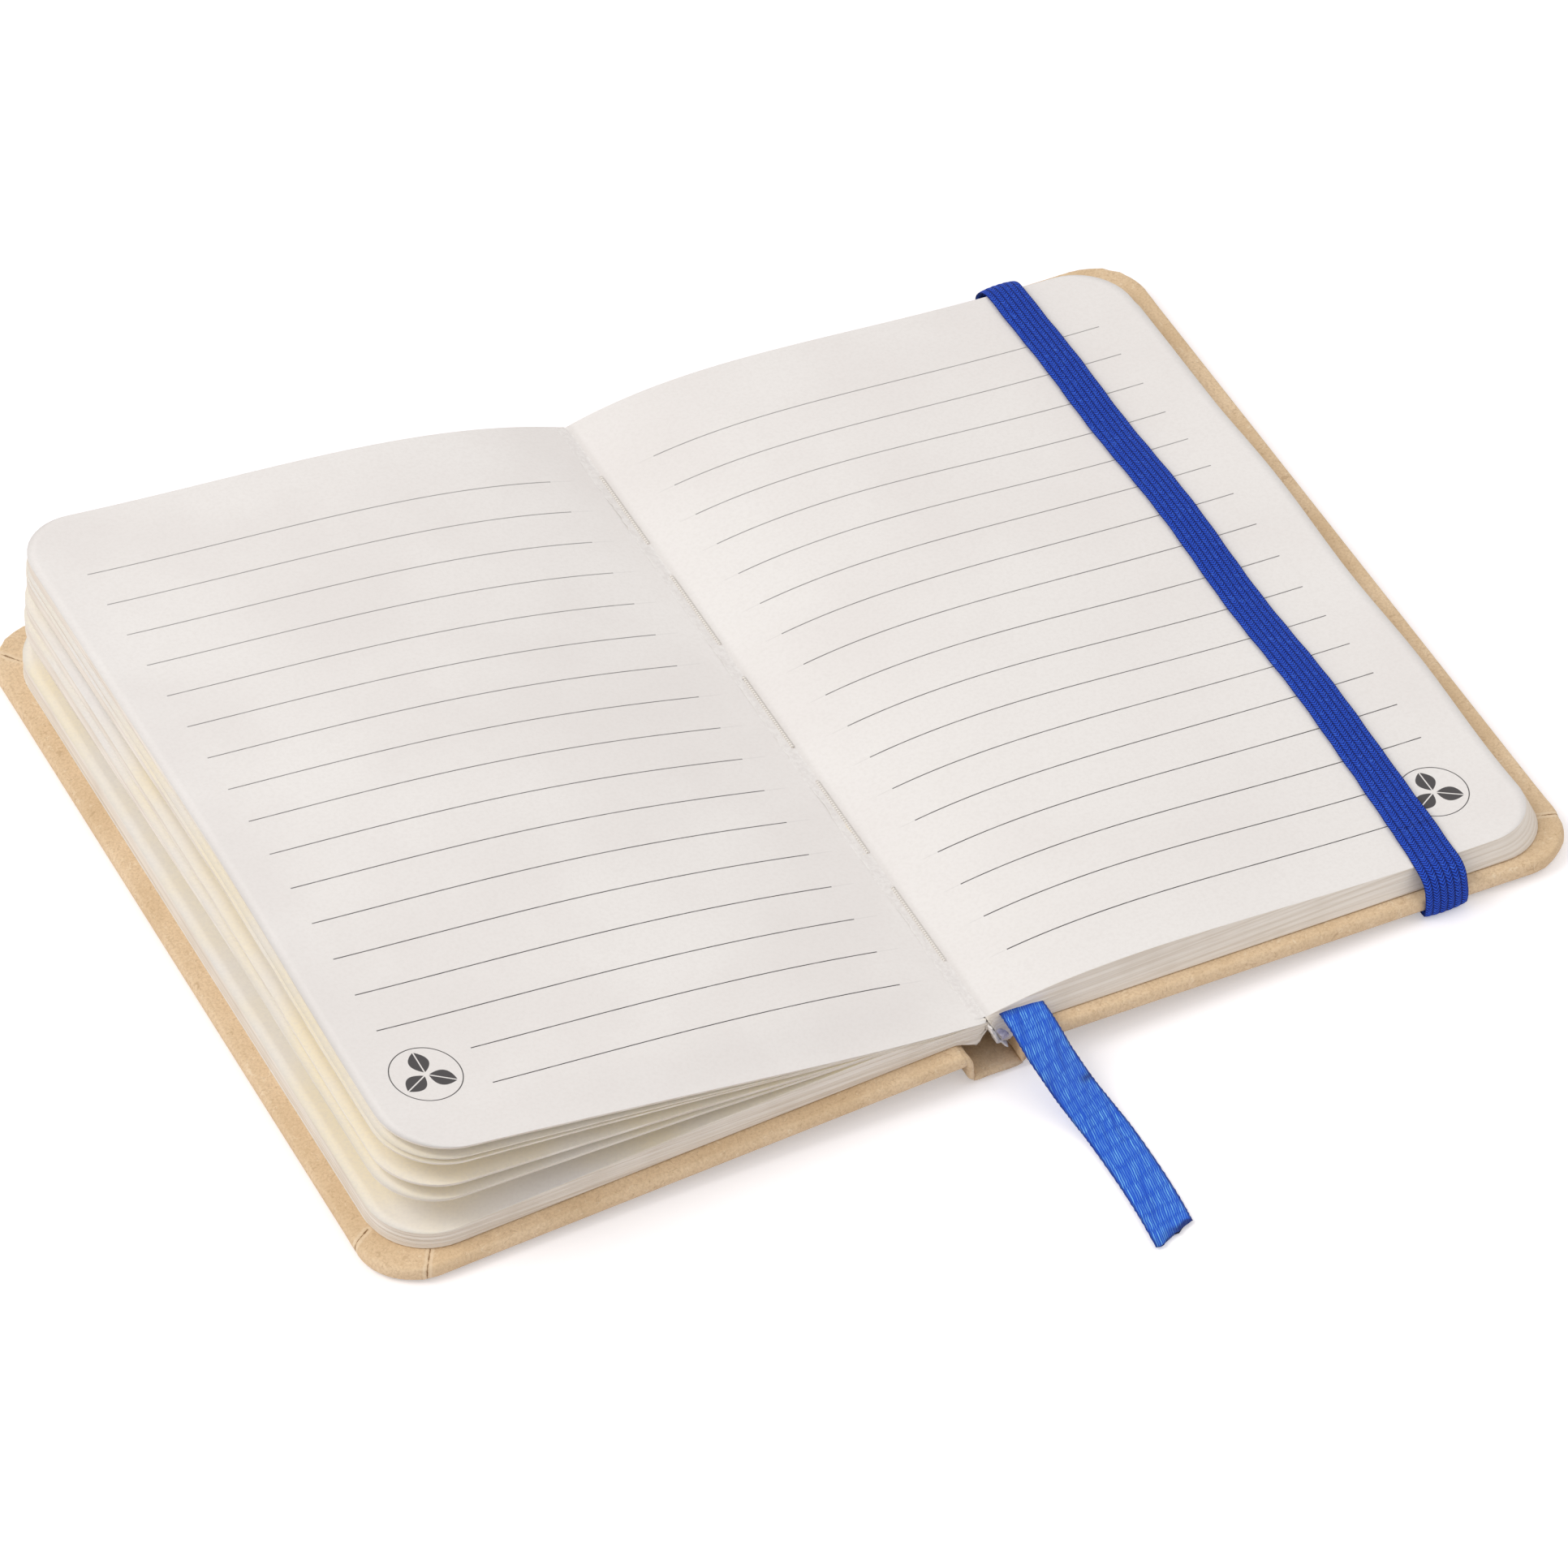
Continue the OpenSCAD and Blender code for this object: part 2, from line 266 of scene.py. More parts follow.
# %% Helper that hands a piece over
def hand_over(name, bm, materials, body=None, stands_for=(), smooth=True):
    """Writes the mesh into an object that sits at the origin, and prints what was made."""
    data = bpy.data.meshes.new(name)
    for face in bm.faces:
        face.smooth = smooth
    bm.to_mesh(data)
    bm.free()
    obj = bpy.data.objects.new(name, data)
    scene.collection.objects.link(obj)
    for material in materials:
        data.materials.append(material)
    if body:
        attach(obj, body)
    if stands_for:
        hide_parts(*stands_for)
    triangles = sum(len(p.vertices) - 2 for p in data.polygons)
    print(f"{name}: {triangles} triangles")
    return obj


# %% [markdown]
# The ribbon is woven satin, 6.6 mm wide. It comes out between the leaves at the tail, bends down over the
# cover's edge and lies on the table, where it is cut at a slant. It is swept along the same points as the
# CAD ribbon. A circle would make a cord, so each section is a flat lens, and the weave's long streaks are
# painted along a map that runs with the ribbon.

# %% Ribbon
leaves_tail = -67.0
ribbon_w = 6.6
ribbon_route = [
    (5.0, 0, 8.1), (5.05, -2, 7.95), (5.15, -4, 7.55), (5.3, -6, 6.85), (5.55, -8, 5.85), (6.0, -10, 4.7),
    (6.5, -12, 3.5), (7.0, -14, 2.45), (7.5, -16, 1.6), (7.9, -18, 1.0), (8.2, -20, 0.6), (8.35, -23, 0.35),
    (8.35, -27, 0.3), (8.25, -31, 0.3), (8.05, -35, 0.3), (7.8, -38, 0.3), (7.5, -41, 0.3)]
ribbon_line = [Vector((x, leaves_tail + y, z)) for x, y, z in ribbon_route]


def smooth_line(points, steps):
    """More points on a smooth curve through the given ones."""
    line = []
    for i in range(len(points) - 1):
        before, a, b, after = (points[max(0, min(len(points) - 1, i + k))] for k in (-1, 0, 1, 2))
        for k in range(steps):
            t = k / steps
            line.append(0.5 * (2 * a + (b - before) * t + (2 * before - 5 * a + 4 * b - after) * t * t
                               + (3 * a - before - 3 * b + after) * t ** 3))
    return line + [points[-1].copy()]


ribbon_fine = smooth_line(ribbon_line, 6)
print("ribbon", round(sum((b - a).length for a, b in zip(ribbon_fine, ribbon_fine[1:])), 1), "mm long")


# %% [markdown]
# Most pieces of a book are skins: a grid of faces laid on a surface. This helper makes the grid with one
# operator and moves each of its points to where a rule says. Points that meet, as at the seam of a tube,
# are merged, and open ends are filled.

# %% Helper for skins
def skin(columns, rows, lay, closed=True):
    """A grid whose points lie where lay(across, along) says, in millimetres, both counted from 0 to 1."""
    bm = bmesh.new()
    bm.loops.layers.uv.new("map")
    bmesh.ops.create_grid(bm, x_segments=columns, y_segments=rows, size=0.5, calc_uvs=True)
    for vert in bm.verts:
        vert.co = lay(vert.co.x + 0.5, vert.co.y + 0.5) * mm
    if closed:
        bmesh.ops.remove_doubles(bm, verts=bm.verts, dist=1e-7)
        bmesh.ops.holes_fill(bm, edges=bm.edges, sides=0)
        bmesh.ops.recalc_face_normals(bm, faces=bm.faces)
    return bm


# %% [markdown]
# Satin floats its threads: each one lies free for about a millimetre, dives, and comes up again, a step
# later than its neighbour. The floats are drawn as thin bricks that run with the ribbon, with their sheen
# painted: a painted highlight on top and painted shade where they dive. The selvages are darker. Painted
# shade darkens the turned end, the bend, and most of all the ribbon where it leaves the book.

# %% Ribbon's satin
tail_length, float_length, float_width = 43.0, 1.5, 0.33
satin = Finish("blue_satin")
chart = satin.node("TexCoord").outputs["UV"]
u, v = satin.node("SeparateXYZ", {0: chart}).outputs[:2]
side = satin.calc("COSINE", satin.calc("MULTIPLY", u, 2 * math.pi))
across = satin.calc("MULTIPLY", side, ribbon_w / 2)
down = satin.calc("MULTIPLY", v, tail_length)
sway = satin.grain(satin.place()[0], 3.0, 2)
down = satin.calc("ADD", down, satin.calc("MULTIPLY", across, 2.4))
across_here = satin.calc("ADD", across, satin.calc("MULTIPLY", sway, 0.35))
across_here = satin.calc("ADD", across_here, satin.calc("MULTIPLY", v, 6.0))
weave = satin.node("CombineXYZ", {0: down, 1: across_here, 2: 0.0}).outputs[0]
floats = satin.node("TexBrick", {
    "Vector": weave, "Color1": (1, 1, 1, 1), "Color2": (0.35, 0.35, 0.35, 1), "Mortar": (0, 0, 0, 1),
    "Scale": 1.0, "Mortar Size": 0.08, "Mortar Smooth": 0.3, "Brick Width": float_length,
    "Row Height": float_width}, offset=0.5)
# Painted sheen: the floats are lighter on top, as a painted highlight, and darker where they dive, as painted
# shade.
painted_float_sheen = satin.calc("MULTIPLY", floats.outputs["Color"], satin.fade(
    satin.grain(satin.stretched(weave, 0.8, 3.5, 1), 1.0, 2), 0.35, 0.65, 0.25, 1.0))
cloud = satin.grain(satin.stretched(weave, 0.16, 0.5, 1), 1.0, 2)
tone = satin.blend(painted_float_sheen, colour(2, 82, 214), colour(122, 196, 255))
tone = satin.blend(satin.fade(cloud, 0.5, 0.72, 0, 0.45), tone, colour(8, 66, 180))
tone = satin.blend(satin.fade(satin.calc("ABSOLUTE", side), 0.86, 0.97, 0, 0.75), tone, colour(4, 34, 122))
# Painted shade: darkest where the ribbon leaves the book, and darker at its bend and at its turned end.
painted_exit_shade = satin.fade(v, 0.0, 0.05, 0.75, 0.0)
painted_bend_shade = satin.calc("MULTIPLY", satin.inside(v, 0.385, 0.41, 0.015),
                        satin.fade(side, 0.2, 0.8, 0, 0.75))
painted_hem_shade = satin.calc("MULTIPLY", satin.fade(v, 0.965, 0.985), satin.fade(side, -0.3, 0.3, 0.25, 0.85))
for shade in (painted_exit_shade, painted_bend_shade, painted_hem_shade):
    tone = satin.blend(shade, tone, colour(5, 30, 105))
blue_satin = satin.finish(tone, 0.4, floats.outputs["Color"], 0.05, 0.8,
                          Specular_IOR_Level=0.3, Sheen_Weight=0.05)


def ribbon_point(around, along):
    """A point of the ribbon's skin: a flat lens around the middle line, slightly hollow and rolled."""
    i = min(len(ribbon_fine) - 1, round(along * (len(ribbon_fine) - 1)))
    ahead = (ribbon_fine[min(i + 1, len(ribbon_fine) - 1)] - ribbon_fine[max(i - 1, 0)]).normalized()
    if i == 0:
        ahead = Vector((0, -1, 0))
    sideways = Vector((-ahead.y, ahead.x, 0)).normalized()
    up = sideways.cross(ahead)
    up = up if up.z > 0 else -up
    turn = around * 2 * math.pi
    across = math.cos(turn)
    thick = 0.17 * math.sin(turn) * (1 - 0.55 * across ** 4)
    ripple = 0.05 * noise.noise(Vector((across * 1.1, along * 9, 3.0)))
    cut = max(0.0, along - 0.93) / 0.07 * (-1.6 * across + 0.3 * math.sin(across * 7))
    serrated = 0.05 * math.copysign(abs(across) ** 6, across) * math.sin(along * 260)
    wide = across * ribbon_w / 2 * (1 + 0.04 * math.sin(math.pi * along)) + serrated
    return ribbon_fine[i] + sideways * wide + up * (thick + ripple) + ahead * cut


ribbon = hand_over("ribbon", skin(28, len(ribbon_fine) - 1, ribbon_point), [blue_satin],
                   "back_half", ["ribbon_bookmark"])

# %% [markdown]
# The leaves are paper sheets that rise from the middle fold. On the left they stand up like a fan, and near
# the tail their own weight pulls them down. On the right they lie flat, with a slow wave along the fore-
# edge from the damp in the air. Each page has a few lines across it, and each line has six heights that a
# smooth curve follows from the fold to the fore-edge. They were read from the printed rules.

# %% Heights of the open pages
gutter_x = -0.5
half_h = 67.0
page_r = 9.5
left_edge, right_edge = -88.85, 89.35

left_lines = [  # place of the line along the fold, and its heights
    (-67, (8.2, 9.8, 13.5, 17.2, 19.8, 23.0)),
    (-58, (8.2, 13.1, 16.5, 18.1, 19.8, 22.9)),
    (-2, (8.2, 13.6, 19.3, 22.0, 23.4, 25.6)),
    (67, (8.2, 16.7, 19.5, 20.3, 22.2, 25.2))]
right_lines = [
    (-67, (8.2, 12.2, 9.9, 6.7, 5.9, 6.0)),
    (-50, (8.2, 12.9, 11.2, 7.8, 6.4, 5.9)),
    (20, (8.2, 13.5, 11.6, 7.9, 6.4, 5.9)),
    (67, (8.2, 13.2, 10.2, 6.6, 5.6, 4.7))]
wave_length, wave_height, wave_crest = 42.0, 0.45, -30.0


def smooth_step(value, start, end):
    t = min(max((value - start) / (end - start), 0), 1)
    return t * t * (3 - 2 * t)


def page_height(lines, edge, x, y):
    """Height of an open page: the six heights between the two nearest lines, blended along a curve."""
    k = sum(y >= place for place, heights in lines[1:-1])
    (start, low), (end, high) = lines[k], lines[k + 1]
    share = smooth_step(y, start, end)
    heights = [a + share * (b - a) for a, b in zip(low, high)]
    n = len(heights) - 1
    u = min(max((x - gutter_x) / (edge - gutter_x), 0), 1.02)
    return sum(math.comb(n, i) * u ** i * (1 - u) ** (n - i) * h for i, h in enumerate(heights))


def left_top(x, y):
    return page_height(left_lines, left_edge, x, y)


def right_top(x, y):
    wave = wave_height * math.cos(2 * math.pi * (y - wave_crest) / wave_length)
    out_here = smooth_step(x, 25, 70) * smooth_step(half_h - y, 0, 30)
    return page_height(right_lines, right_edge, x, y) + wave * out_here


print("page heights at the middle:", round(left_top(-45, 0), 1), round(right_top(45, 0), 1))

# %% [markdown]
# A leaf, a bundle of leaves and a cover have one form: two surfaces, one above the other, with a wall
# around them. The wall is made of rings. Rings that step in and out show the edges of single leaves, and
# rings on a half circle round the edge of a cover.

# %% Helper for stacked sheets
def rounded(root, edge, half_height, radius, at_spine=0.0, crowd=1.0):
    """An outline with round corners at the fore-edge. It can be drawn with an inset, and crowd above 1 puts
    more columns near the spine."""
    side = 1 if edge > root else -1

    def outline(s, t, inset):
        s = s ** crowd
        r = max(radius - inset, 0.05)
        h = half_height - inset
        y = h * math.sin((t - 0.5) * math.pi)
        over = max(0.0, abs(y) - (h - r))
        cut = r - math.sqrt(max(0.0, r * r - over * over))
        near = root + side * inset * at_spine
        return near + s * (edge - side * (inset + cut) - near), y
    return outline


def stack(outline, top, bottom, columns, rows, rings, place=None):
    """A closed block between the surfaces top and bottom. A ring is (share of the way down, distance out)."""
    bm = bmesh.new()
    around = 2 * (columns + rows)

    def lay(vert, s, t, share, out):
        x, y = outline(s, t, -out)
        high, low = top(x, y), bottom(x, y)
        point = Vector((x, y, high + share * (low - high)))
        vert.co = (place(point, share) if place else point) * mm

    def corner(k):
        if k < columns:
            return k / columns, 0.0
        if k < columns + rows:
            return 1.0, (k - columns) / rows
        if k < 2 * columns + rows:
            return 1 - (k - columns - rows) / columns, 1.0
        return 0.0, 1 - (k - 2 * columns - rows) / rows

    for ring in (rings[0], rings[-1]):
        for vert in bmesh.ops.create_grid(bm, x_segments=columns, y_segments=rows, size=0.5)["verts"]:
            lay(vert, vert.co.x + 0.5, vert.co.y + 0.5, *ring)
    flat = set(bm.faces)
    for vert in bmesh.ops.create_grid(bm, x_segments=around, y_segments=len(rings) - 1, size=0.5)["verts"]:
        ring = rings[round((vert.co.y + 0.5) * (len(rings) - 1))]
        lay(vert, *corner(round((vert.co.x + 0.5) * around)), *ring)
    for face in bm.faces:
        face.material_index = 0 if face in flat else 1
    bmesh.ops.remove_doubles(bm, verts=bm.verts, dist=1e-7)
    bmesh.ops.recalc_face_normals(bm, faces=bm.faces)
    open_edges = sum(not e.is_manifold for e in bm.edges)
    print("  block with", len(bm.faces), "faces and", open_edges, "open edges")
    return bm


def leaf_rings(leaves, seed, depth=0.1):
    """Rings for the wall of a block. Each leaf's edge stands out a little and differs from the next."""
    dice = random.Random(seed)
    rings = []
    for k in range(leaves):
        out = dice.uniform(-0.7, 0.4) * depth
        rings += [((k + 0.02) / leaves, out - depth), ((k + 0.25) / leaves, out),
                  ((k + 0.75) / leaves, out)]
    rings.append((1.0, 0.0))
    rings[0] = (0.0, 0.0)
    return rings


# %% [markdown]
# The paper is off-white and uncoated. Rules 7 mm apart run from near the fold to near the fore-edge, and
# the rules of the leaf's other side shine through past their ends. In the outer corner at the tail each
# page has a small printed mark: here a plain ring around a sprig of three leaves. The two lowest rules stop
# short of it.

# %% Page paper
rule_pitch, rule_t = 7.0, 0.085
lowest_rule, highest_rule = -58, 54
mark_r = 5.05


def paper_colours(leaf, point, tint):
    """The paper's own colour, with slow and fine mottling."""
    cloud = leaf.grain(point, 26, 3)
    speck = leaf.grain(point, 0.5, 2)
    tone = leaf.blend(leaf.fade(cloud, 0.3, 0.7), tint, colour(244, 241, 238))
    return leaf.blend(leaf.fade(speck, 0.35, 0.75, 0, 0.22), tone, colour(226, 221, 217))


def ruled_page(name, tint, ends, short_ends, shine, mark):
    """Ruled paper. ends, short_ends and shine are where its long rules, its two lowest rules and those that
    shine through start and stop."""
    leaf = Finish(name)
    point, (x, y, z) = leaf.place()
    tone = paper_colours(leaf, point, tint)
    rule_gap = leaf.calc("PINGPONG", leaf.calc("SUBTRACT", y, lowest_rule), rule_pitch / 2)
    on_rule = leaf.fade(rule_gap, rule_t * 1.6, rule_t * 0.5)
    above_mark, below_mark = lowest_rule + 1.5 * rule_pitch, lowest_rule - 1
    long_rule = leaf.calc("MULTIPLY", leaf.inside(x, *ends, 0.05),
                          leaf.inside(y, above_mark, highest_rule + 1, 0.1))
    short_rule = leaf.calc("MULTIPLY", leaf.inside(x, *short_ends, 0.05),
                           leaf.inside(y, below_mark, above_mark, 0.1))
    ghost = leaf.calc("MULTIPLY", leaf.inside(x, *shine, 0.6),
                      leaf.inside(y, below_mark, highest_rule + 1, 0.1))
    ink = leaf.calc("MULTIPLY", on_rule, leaf.calc("MAXIMUM", long_rule, short_rule))
    ink = leaf.calc("MULTIPLY", ink, leaf.fade(leaf.grain(point, 1.5, 2), 0.2, 0.6, 0.8, 1.0))
    ink = leaf.calc("MULTIPLY", ink, leaf.fade(y, -60, 60, 0.95, 0.62))
    ink = leaf.calc("MAXIMUM", ink, leaf.calc("MULTIPLY", on_rule, leaf.calc("MULTIPLY", ghost, 0.07)))
    from_x, from_y = leaf.calc("SUBTRACT", x, mark[0]), leaf.calc("SUBTRACT", y, mark[1])
    sprig = leaf.inside(leaf.length(from_x, from_y), mark_r - 0.08, mark_r + 0.08, 0.04)
    for turn in (90, 212, 328):
        c, s = math.cos(math.radians(turn)), math.sin(math.radians(turn))
        ahead = leaf.calc("ADD", leaf.calc("MULTIPLY", from_x, c), leaf.calc("MULTIPLY", from_y, s))
        aside = leaf.calc("ADD", leaf.calc("MULTIPLY", from_x, -s), leaf.calc("MULTIPLY", from_y, c))
        reach = leaf.calc("DIVIDE", leaf.calc("SUBTRACT", ahead, 2.35), 2.0)
        width = leaf.calc("MULTIPLY", leaf.calc("SUBTRACT", 1, leaf.calc("MULTIPLY", reach, reach)), 1.45)
        blade = leaf.fade(leaf.calc("SUBTRACT", leaf.calc("ABSOLUTE", aside), width), 0.05, -0.05)
        vein = leaf.fade(leaf.calc("ABSOLUTE", aside), 0.07, 0.12)
        sprig = leaf.calc("MAXIMUM", sprig, leaf.calc("MULTIPLY", blade, vein))
    ink = leaf.calc("MAXIMUM", ink, leaf.calc("MULTIPLY", sprig, 0.93))
    tone = leaf.blend(ink, tone, colour(54, 51, 54))
    # Painted shade: the paper darkens within 1.5 mm of the fold, where the gutter lies in shade.
    tone = leaf.blend(leaf.fade(leaf.off(x, gutter_x), 1.5, 0.0, 0, 0.18), tone, colour(150, 142, 136))
    return leaf.finish(tone, 0.85, leaf.grain(point, 0.18, 2), 0.012, 0.6, Specular_IOR_Level=0.25)


def paper_edges(name, light, dark):
    """The cut edges of many leaves: cream, with finer and darker lines that run with the leaves."""
    cut = Finish(name)
    point, (x, y, z) = cut.place()
    lines = cut.grain(cut.stretched(point, 0.02, 0.02, 3.2), 1.0, 2)
    cloud = cut.grain(point, 9, 2)
    tone = cut.blend(cut.fade(lines, 0.35, 0.7, 0, 0.5), light, dark)
    tone = cut.blend(cut.fade(cloud, 0.4, 0.7, 0, 0.25), tone, dark)
    return cut.finish(tone, 0.9, lines, 0.04, 0.4, Specular_IOR_Level=0.2)


def plain_paper(name, tint):
    leaf = Finish(name)
    return leaf.finish(paper_colours(leaf, leaf.place()[0], tint), 0.9, Specular_IOR_Level=0.2)


left_paper = ruled_page("ruled_paper_left", colour(238, 234, 231), ends=(-81.85, -9.05),
                        short_ends=(-71.05, -9.05), shine=(-9, -5.6), mark=(-78.95, -53.6))
right_paper = ruled_page("ruled_paper_right", colour(240, 236, 233), ends=(7.65, 81.65),
                         short_ends=(7.65, 69.35), shine=(5.2, 7.7), mark=(77.85, -54.4))
cut_edges = paper_edges("cut_edges", colour(243, 236, 226), colour(208, 194, 176))
# The inner leaves get the pages' cream paper, painted warmer and yellower as painted light: the warm glow of
# light passing through and between the leaves.
inner_leaves_painted_glow = plain_paper("inner_leaves_painted_glow", colour(252, 242, 217))

# %% [markdown]
# A notebook's leaves are folded sheets, sewn through the fold and cut in one go on three sides. Where it
# lies open, the left half fans out: a few clumps of leaves stand apart, and most leaves still lie on the
# cover. Each clump is one closed block with the edges of its leaves in its wall.

# %% Leaves of the left half
half_w, tilt, seat = 93.75, math.radians(2.2017), 2.47
seat_start = 5.25  # where the inner faces of the covers start, on both sides of the spine


def seat_height(x):
    """Height of a cover's inner face, endpaper included."""
    return (half_w - abs(x)) * math.tan(tilt) + seat


def along(points, x):
    """Height at x on a line through the points, level beyond its ends."""
    for (x0, z0), (x1, z1) in zip(points, points[1:]):
        if x <= x1:
            return z0 + (z1 - z0) * min(max((x - x0) / (x1 - x0), 0), 1)
    return points[-1][1]


lower_left_line = [(-90, 5.6), (-84, 5.7), (-60, 7.3), (-45, 8.3), (-17, 9.4), (-6, 9.2), (-0.65, 8.2)]
left_fold_line = [(-7, 5.9), (-5.25, 5.87), (-1.9, 4.4), (-1.2, 5.8), (-0.65, 7.2)]
tail_reach = 1.0
leaf_columns, leaf_rows = 70, 64


def left_block_top(x, y):
    return min(along(lower_left_line, x), left_top(x, y) - 0.6 * smooth_step(-x, 0.6, 8))


def left_block_bottom(x, y):
    return seat_height(x) if x < -seat_start else along(left_fold_line, x)


def fanned(share, drop=0.0, more_at_head=0.0):
    """A surface between the lower block and the open page, at a share of the way up. drop lowers it at the
    fore-edge, and more_at_head lowers it further towards the head."""
    def height(x, y):
        low = left_block_top(x, y)
        here = 0.15 + 0.85 * smooth_step(abs(x), 1, 30)
        return low + share * (left_top(x, y) - low) - here * (drop + more_at_head * smooth_step(y, -25, 60))
    return height


def fallen(point, share):
    """At the tail the leaves slide out a little, and by the fold they are torn."""
    torn = 0.9 * smooth_step(point.x, -3.5, -1) * min(1, 4 * share)
    jag = noise.noise(Vector((point.y * 1.7, point.z * 2.2, 5)))
    return point + Vector((torn * jag, -tail_reach * smooth_step(-point.y, 30, 67), 0))


def clump(name, share, leaves, thick, more, seed, top_finish=inner_leaves_painted_glow):
    """Some leaves of the fan that lie against each other."""
    shape = rounded(gutter_x - 0.15, left_edge - 1.9 * (1 - share), half_h, page_r, crowd=1.3)
    bm = stack(shape, fanned(share), fanned(share, thick, more), leaf_columns, leaf_rows,
               leaf_rings(leaves, seed, 0.06), fallen)
    return hand_over(name, bm, [top_finish, cut_edges], "front_half", ["front_pages"])


clump("leaves_left_open", 1.0, leaves=2, thick=0.28, more=1.5, seed=3, top_finish=left_paper)
clump("leaves_left_second", 0.87, leaves=1, thick=0.14, more=0.3, seed=4)
clump("leaves_left_third", 0.815, leaves=2, thick=0.25, more=1.9, seed=5)
clump("leaves_left_fourth", 0.566, leaves=3, thick=0.4, more=1.4, seed=6)
clump("leaves_left_fifth", 0.394, leaves=3, thick=0.35, more=2.4, seed=7)
block = stack(rounded(gutter_x - 0.15, left_edge - 1.9, half_h, page_r, crowd=1.3), left_block_top,
              left_block_bottom, leaf_columns, leaf_rows, leaf_rings(9, 8, 0.07), fallen)
hand_over("leaves_left_block", block, [inner_leaves_painted_glow, cut_edges], "front_half",
          ["front_pages"])

# %% [markdown]
# The right half lies closed on its cover. Under the ribbon the lower leaves reach a little farther to the
# tail, because the book block slants as it is opened, and its back is round where it was glued.

# %% Leaves of the right half
right_fold_line = [(-0.35, 8.1), (0.5, 6.5), (1.0, 5.0), (1.8, 3.8), (2.8, 3.7), (5.25, 5.9), (7, 5.9)]
slant = 1.4


def right_block_bottom(x, y):
    return seat_height(x) if x > seat_start else along(right_fold_line, x)


def leaning(point, share):
    """The lower leaves lie farther to the tail, and farther out at the fore-edge."""
    bow = smooth_step(-point.y, -67, 67)
    return point + Vector((1.3 * share * smooth_step(point.x, 30, 88), -slant * share * bow, 0))


block = stack(rounded(gutter_x + 0.15, right_edge, half_h, page_r - 1, crowd=1.3), right_top,
              right_block_bottom, 84, leaf_rows, leaf_rings(9, 9, 0.03), leaning)
hand_over("leaves_right", block, [right_paper, cut_edges], "back_half", ["back_pages"])

# %% [markdown]
# The covers are grey board wrapped in kraft paper, turned in over the edges and rounded at the fore-edge
# corners. Kraft shows its fibres: short hairs, lighter and darker than the ground.

# %% Kraft covers
kraft = Finish("kraft_paper")
point, (x, y, z) = kraft.place()
cloud = kraft.fade(kraft.grain(point, 14, 4, 0.6), 0.3, 0.7)
ground = kraft.blend(cloud, colour(226, 198, 160), colour(240, 215, 181))
mottle = kraft.fade(kraft.grain(point, 0.4, 3, 0.7), 0.35, 0.7, 0, 0.6)
ground = kraft.blend(mottle, ground, colour(206, 176, 138))
hairs = (((248, 232, 206), 0.4), ((180, 146, 108), 0.36), ((188, 156, 120), 0.32))
for k, (hair, strength) in enumerate(hairs):
    apart = kraft.node("VectorMath", {0: point, 1: (40.0 * k, 17.0 * k, 5.0)}, operation="ADD").outputs[0]
    curl = kraft.off(kraft.grain(apart, 2.4, 1, 0.5, 1.4), 0.5)
    broken = kraft.fade(kraft.grain(apart, 1.1, 1), 0.52, 0.6)
    fibre = kraft.calc("MULTIPLY", kraft.fade(curl, 0.02, 0.006, 0, strength), broken)
    ground = kraft.blend(fibre, ground, colour(*hair))
specks = kraft.fade(kraft.grain(point, 0.4, 0), 0.84, 0.88, 0, 0.3)
ground = kraft.blend(specks, ground, colour(150, 112, 78))
# Creases near the round corners: painted shade darkens each crease, a painted highlight lightens the paper
# beside it, and the bump sinks it.
creases = [((-91.6, 65.6), (-89.6, 62.9)), ((-91.2, -59.9), (-94.2, -61.7)),
           ((-85.2, -67.2), (-87.8, -71.4)), ((90.2, -62.1), (94.4, -63.3))]
crease = 10.0
for start, end in creases:
    crease = kraft.calc("MINIMUM", crease, kraft.from_line(x, y, start, end))
crease = kraft.calc("ADD", crease, kraft.calc("MULTIPLY", kraft.grain(point, 1.1, 3, 0.7), 0.45))
in_crease = kraft.fade(crease, 0.34, 0.22)
ground = kraft.blend(kraft.calc("MULTIPLY", in_crease, 0.9), ground, colour(128, 92, 60))
crease_side_highlight = kraft.calc("MULTIPLY", kraft.inside(crease, 0.42, 0.8, 0.15), 0.5)
ground = kraft.blend(crease_side_highlight, ground, colour(242, 222, 194))
relief = kraft.calc("SUBTRACT", kraft.grain(point, 0.3, 3), kraft.calc("MULTIPLY", in_crease, 1.6))
kraft_paper = kraft.finish(ground, 0.8, relief, 0.035, 0.8, Specular_IOR_Level=0.3)

board_w, cover_t, cover_half_h, cover_r, tail_overhang = 88.5, 2.3, 70.0, 9.0, 0.6
rim_depth, rim_steps = 0.68, 10
rim = [((1 - math.cos(math.pi * k / rim_steps)) / 2, rim_depth * (math.sin(math.pi * k / rim_steps) - 1))
       for k in range(rim_steps + 1)]


def crumpled(point, share):
    """The covers stand out a little more at the tail. Near round corners the paper gathers in small folds."""
    point = point - Vector((0, tail_overhang * smooth_step(-point.y, 50, 68), 0))
    near = smooth_step(abs(point.y), 56, 68) * smooth_step(point.x, 74, 86)
    wrinkle = noise.noise(Vector((point.x * 0.7, point.y * 0.7, point.z * 0.5))) + 0.4
    return point + Vector((0.25, 0.25 * (1 if point.y > 0 else -1), 0.12)) * near * wrinkle


